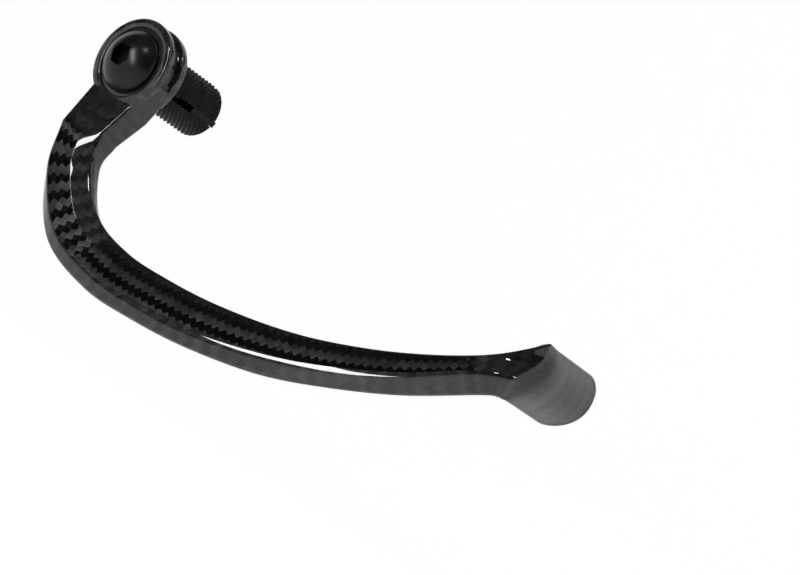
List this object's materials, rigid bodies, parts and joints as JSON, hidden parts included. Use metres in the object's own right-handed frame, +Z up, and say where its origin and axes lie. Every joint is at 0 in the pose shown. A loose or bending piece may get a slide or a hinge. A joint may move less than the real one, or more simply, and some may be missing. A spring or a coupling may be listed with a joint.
{
  "type": "brake lever guard",
  "caption": "Brake lever guard: a glossy moulded arm with a paddle end hooks forward from a round boss, clamped by a dome-head screw to a slotted handlebar expander.",
  "frame": {"origin": "on the handlebar's axis, at the boss's rear face that meets the bar's end", "axes": "+X out of the bar's end along its axis, +Y ahead of the motorbike, +Z up"},
  "size_m": [0.0541, 0.1694, 0.0691],
  "materials": {
    "carbon_gloss": "gloss",
    "black_satin": "satin",
    "black_anodised": "anodised"
  },
  "bodies": {
    "root": {"guard_arm": "carbon_gloss", "clamp_screw": "black_satin", "expander_sleeve": "black_anodised", "cone_nut": "black_anodised"}
  },
  "joints": []
}
